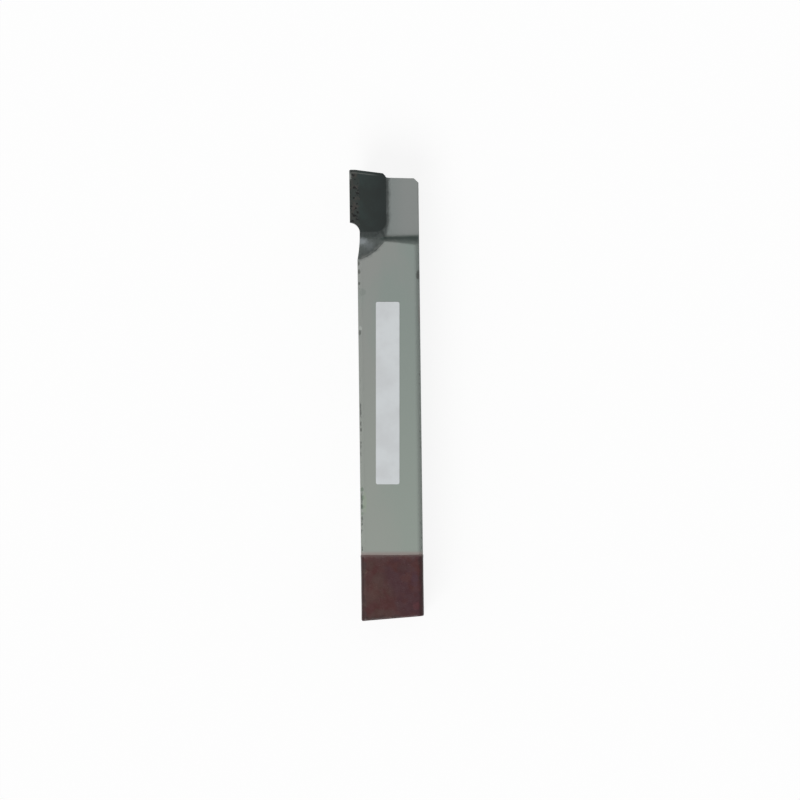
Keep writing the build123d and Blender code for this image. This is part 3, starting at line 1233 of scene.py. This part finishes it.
@dataclass
class DipCoat:
    """The maroon enamel over the rear end, a skin with a lip where the dip stopped."""

    finish: Finish
    edge_radius: float = 1.1  # the bar's long edges
    edge_break: float = 0.3  # the broken edge round the sawn face
    saw_angle: float = 4.1  # how far the rear face is out of square
    face_gap: float = 0.02  # from the sawn face to where the coat's thickness is counted
    line_slope: float = -0.004  # the dip was a little askew to the bar
    line_wave: float = 0.06
    wave_rates: Pair = (0.22, 0.9)  # its long and its short waves per mm
    thickness: float = 0.05
    seat_thickness: float = 0.02  # squeezed thin where the tool lies on it
    sag: float = 0.03
    lip_height: float = 0.05
    lip_width: float = 0.45
    lip_rise: float = 0.25  # from the line, where the coat has come up from the paint
    lip_foot: float = 0.05  # how deep its first ring is under the paint
    saw_pitch: float = 1.15
    saw_depth: float = 0.05
    saw_tilt: float = 9.0  # degrees from level
    saw_wander: float = 0.7  # how far the marks stray from straight
    saw_fade: float = 1.2  # from the sawn face's edge, where the marks have come in
    plug: float = 0.2  # half the size of the flat in the middle of the end
    past_lip: float = 12.0  # a distance behind the line that is clear of the lip
    points_per_side: int = 40
    points_per_corner: int = 8
    line_steps: tuple[float, ...] = (0.0, 0.03, 0.1, 0.2, 0.32, 0.45, 0.6, 0.8, 1.1)
    rings_along: int = 44
    rings_on_edge: int = 6
    rings_on_end: int = 30

    def __post_init__(self) -> None:
        """Reads the bar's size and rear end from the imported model."""
        at = self.finish.places
        self.half = at.right
        self.height = at.top
        self.rear_left = at.rear - self.face_gap

    def section(self, inset: float) -> list[tuple[float, float, Vector]]:
        """Walks round the bar's section.

        Args:
            inset: How far inside the bar's surface the walk stays.

        Returns:
            For each point its x and z, and the direction out of the bar.
        """
        radius = max(self.edge_radius - inset, 0.02)
        reach = self.half - inset - radius
        middle = self.height / 2
        walk = []
        for corner in range(4):
            turn = math.radians(90 * corner)
            centre = Vector((reach, 0, reach))
            centre.rotate(Euler((0, -turn, 0)))
            for step in range(self.points_per_corner + 1):
                angle = turn + math.radians(90) * step / self.points_per_corner
                out = Vector((math.cos(angle), 0, math.sin(angle)))
                walk.append((centre.x + out.x * radius, middle + centre.z + out.z * radius, out))
            along = Vector((-2 * reach, 0, 0))
            along.rotate(Euler((0, -turn, 0)))
            start_x, start_z, out = walk[-1]
            for step in range(1, self.points_per_side):
                share = step / self.points_per_side
                walk.append((start_x + along.x * share, start_z + along.z * share, out))
        return walk

    def line(self, x: float, z: float) -> float:
        """Gives the y of the dip line at a place on the section.

        Args:
            x: Place across the bar.
            z: Height of the place.

        Returns:
            The line's y.
        """
        long, short = self.wave_rates
        wave = noise.noise(Vector((x * long, z * long, 3.1))) * self.line_wave * 2
        wave += noise.noise(Vector((x * short, z * short, 8.4))) * self.line_wave * 0.5
        return DIP_LINE + self.line_slope * x + wave

    def end(self, x: float) -> float:
        """Gives the y of the sawn face at a place across the bar."""
        return self.rear_left + (x + self.half) * math.tan(math.radians(self.saw_angle))

    def depth(self, x: float, z: float, out: Vector, from_line: float) -> float:
        """Gives the coat's thickness at a place.

        Args:
            x: Place across the bar.
            z: Height of the place.
            out: The direction out of the bar.
            from_line: How far behind the dip line the place is.

        Returns:
            The thickness in mm.
        """
        lip = self.lip_height * math.exp(-((from_line - self.lip_width) / self.lip_width) ** 2)
        sag = self.sag * noise.noise(Vector((x, from_line * 0.6, z)) * 0.35)
        full = (self.thickness + lip + sag) * min(1.0, from_line / self.lip_rise) ** 0.5
        # It thins from where the surface turns down to where it lies on the floor
        resting = min(1.0, max(0.0, -out.z * 1.6 - 0.4))
        return full + (self.seat_thickness - full) * resting if from_line > 0 else 0.0

    def saw_marks(self, x: float, z: float) -> float:
        """Gives the height of the saw marks that show through the paint on the end.

        Args:
            x: Place across the bar.
            z: Height of the place.

        Returns:
            The height in mm, above or below zero.
        """
        tilt = math.radians(self.saw_tilt)
        across = z * math.cos(tilt) + x * math.sin(tilt)
        wander = noise.noise(Vector((x * 0.08, z * 0.15, 5.0))) * self.saw_wander
        ridge = math.sin((across + wander) * 2 * math.pi / self.saw_pitch)
        strength = 0.5 + 0.5 * noise.noise(Vector((x * 0.1, across * 0.8, 9.0)))
        return self.saw_depth * ridge * strength

    def build(self) -> None:
        """Builds the coat: along the bar, round the rear edge and over the sawn end."""
        points: list[Vector] = []
        side = self.section(0.0)
        around = len(side)
        edge = self.thickness + self.edge_break
        near, last = len(self.line_steps), self.line_steps[-1]
        for ring in range(self.rings_along):
            for x, z, out in side:
                start = self.line(x, z)
                length = start - (self.end(x) + edge)
                if ring < near:
                    back = self.line_steps[ring]
                else:
                    back = last + (length - last) * (ring - near + 1) / (self.rings_along - near)
                grow = self.depth(x, z, out, back) if ring else -self.lip_foot
                points.append(Vector((x, start - back, z)) + out * grow)
        for ring in range(1, self.rings_on_edge + 1):
            turn = math.radians(90) * ring / self.rings_on_edge
            for x, z, out in side:
                reach = self.depth(x, z, out, self.past_lip) - edge * (1 - math.cos(turn))
                y = self.end(x) + edge * (1 - math.sin(turn)) - self.thickness * math.sin(turn)
                points.append(Vector((x, y, z)) + out * reach)
        for ring in range(1, self.rings_on_end + 1):
            share = ring / self.rings_on_end
            inset = self.edge_break + (self.half - self.edge_break - self.plug) * share
            fade = min(1.0, inset / self.saw_fade)
            for x, z, _out in self.section(inset):
                y = self.end(x) - self.thickness + self.saw_marks(x, z) * fade
                points.append(Vector((x, y, z)))
        rings = self.rings_along + self.rings_on_edge + self.rings_on_end
        faces = join_rings(0, rings, around)
        faces.append(tuple(reversed(range(around))))
        faces.append(tuple(range((rings - 1) * around, rings * around)))
        make_piece("dip_coat", Slot.PAINT, self.finish, points, faces)


@dataclass(frozen=True)
class SoftLamp:
    """A broad, even lamp, as wide in the sky as a softbox is in a studio."""

    name: str
    azimuth: float  # degrees from +X towards +Y
    elevation: float
    width: float  # degrees across
    level: float  # how bright a white face turned to the lamp looks

    def build(self) -> None:
        """Hangs the lamp."""
        data = bpy.data.lights.new(self.name, "SUN")
        data.energy = self.level * math.pi
        data.angle = math.radians(self.width)
        tilt, turn = math.radians(90 - self.elevation), math.radians(self.azimuth + 90)
        add_object(self.name, data).rotation_euler = Euler((tilt, 0, turn))


@dataclass
class Studio:
    """A plain pale floor, soft light and a camera looking straight down."""

    floor_size: float = 60.0  # metres
    sky_left: float = 0.62
    sky_right: float = 0.22
    horizon: float = 0.03  # height over which the backdrop fades into the sky
    floor_white: float = 0.9
    floor_glow: float = 0.88  # the floor's own share of its white
    lens: float = 400.0
    sensor: float = 36.0
    view_width: float = 206.47  # what the photograph's width spans, level with the top face
    view_centre: Pair = (2.55, -1.34)
    lean: float = 0.70  # degrees that the tool leans to the left in the photograph
    lamps: tuple[SoftLamp, ...] = (
        SoftLamp("key", 244.0, 50.0, 38.0, 0.66),
        SoftLamp("fill", 20.0, 35.0, 60.0, 0.10),
    )

    def build_floor(self) -> None:
        """Lays the floor under the tool."""
        half = self.floor_size / 2
        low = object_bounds()[0].z
        mesh = bpy.data.meshes.new("floor")
        corners = [(-half, -half, low), (half, -half, low), (half, half, low), (-half, half, low)]
        mesh.from_pydata(corners, [], [(0, 1, 2, 3)])
        mesh.materials.append(self.floor_material())
        add_object("floor", mesh)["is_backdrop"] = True

    def floor_material(self) -> bpy.types.Material:
        """Makes a matt white floor that the camera and mirror-like faces see near white.

        Returns:
            The floor's material.
        """
        made = bpy.data.materials.new("matt white studio floor")
        tree = empty_tree(made)
        rays = add_node(tree, "LightPath").node.outputs
        seen = rays["Is Camera Ray"]
        for kind in ("Is Glossy Ray", "Is Transmission Ray"):
            seen = add_node(tree, "Math", {0: seen, 1: rays[kind]}, operation="MAXIMUM")
        glow = add_node(tree, "Math", {0: seen, 1: self.floor_glow}, operation="MULTIPLY")
        matt = add_node(tree, "BsdfDiffuse", {"Color": (*(self.floor_white,) * 3, 1)})
        white = add_node(tree, "Emission", {"Color": (1, 1, 1, 1), "Strength": 1.0})
        mixed = add_node(tree, "MixShader", {0: glow, 1: matt, 2: white})
        add_node(tree, "OutputMaterial", {"Surface": mixed})
        return made

    def build_sky(self) -> None:
        """Lights the scene from all round, more from the left.

        The lowest part of the sky is a backdrop, as white as the floor.
        """
        world = bpy.data.worlds.new("soft studio sky")
        bpy.context.scene.world = world
        tree = empty_tree(world)
        way = add_node(tree, "TexCoord").node.outputs["Generated"]
        axes = add_node(tree, "SeparateXYZ", {0: way}).node.outputs
        ends = {"From Min": -1.0, "From Max": 1.0, "To Min": self.sky_left, "To Max": self.sky_right}
        level = add_node(tree, "MapRange", {"Value": axes["X"], **ends},
                         interpolation_type="SMOOTHSTEP")
        backdrop = self.floor_glow + (1 - self.floor_glow) * self.floor_white
        ends = {"From Min": 0.0, "From Max": self.horizon, "To Min": 1.0, "To Max": 0.0}
        low = add_node(tree, "MapRange", {"Value": axes["Z"], **ends})
        level = add_node(tree, "Mix", {"Factor": low, "A": level, "B": backdrop}, data_type="FLOAT")
        sky = add_node(tree, "Background", {"Color": (1, 1, 1, 1), "Strength": level})
        add_node(tree, "OutputWorld", {"Surface": sky})

    def build_camera(self) -> None:
        """Puts the camera straight above the tool, turned to lean as the photograph does."""
        data = bpy.data.cameras.new("camera")
        data.lens = self.lens
        data.sensor_width = self.sensor
        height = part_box("shank")[1].z + self.view_width * MM * self.lens / self.sensor
        data.clip_end = 4 * height
        camera = add_object("camera", data)
        camera.location = (self.view_centre[0] * MM, self.view_centre[1] * MM, height)
        camera.rotation_euler = Euler((0, 0, math.radians(-self.lean)))
        bpy.context.scene.camera = camera

    def build(self) -> None:
        """Sets the whole stage."""
        self.build_floor()
        self.build_sky()
        for lamp in self.lamps:
            lamp.build()
        self.build_camera()
        bpy.context.scene.view_settings.view_transform = "Standard"
        LOG.info("built the studio")


def write_sizes() -> None:
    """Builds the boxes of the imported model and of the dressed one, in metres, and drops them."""
    boxes = {"cad": CAD_BOX, "visual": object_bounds()}
    {name: [list(corner) for corner in box] for name, box in boxes.items()}


def main() -> None:
    """Builds the tool's finishes and pieces, then the stage."""
    logging.basicConfig(level=logging.INFO, format="%(message)s")
    carbide = GroundCarbide("sintered and ground tungsten carbide", blunt=0.04)
    pieces = [
        CadPiece("shank", Slot.PAINT, SprayedEnamel("sprayed machine enamel and ground steel")),
        CadPiece("carbide_tip", Slot.CARBIDE, carbide),
        CadPiece("braze_seam", Slot.BRAZE, BrazeAlloy("brass filler, fluxed and ground")),
        CadPiece("label", Slot.PAPER, CoatedPaper("white coated label paper", blunt=0.05)),
    ]
    for piece in pieces:
        piece.dress()
    burnt = BrazeAlloy("brass filler under burnt flux")
    BrazeBead(burnt).build()
    FluxDrops(burnt).build()
    DipCoat(DippedEnamel("dipped maroon enamel")).build()
    Studio().build()
    write_sizes()


if __name__ == "__main__":
    main()
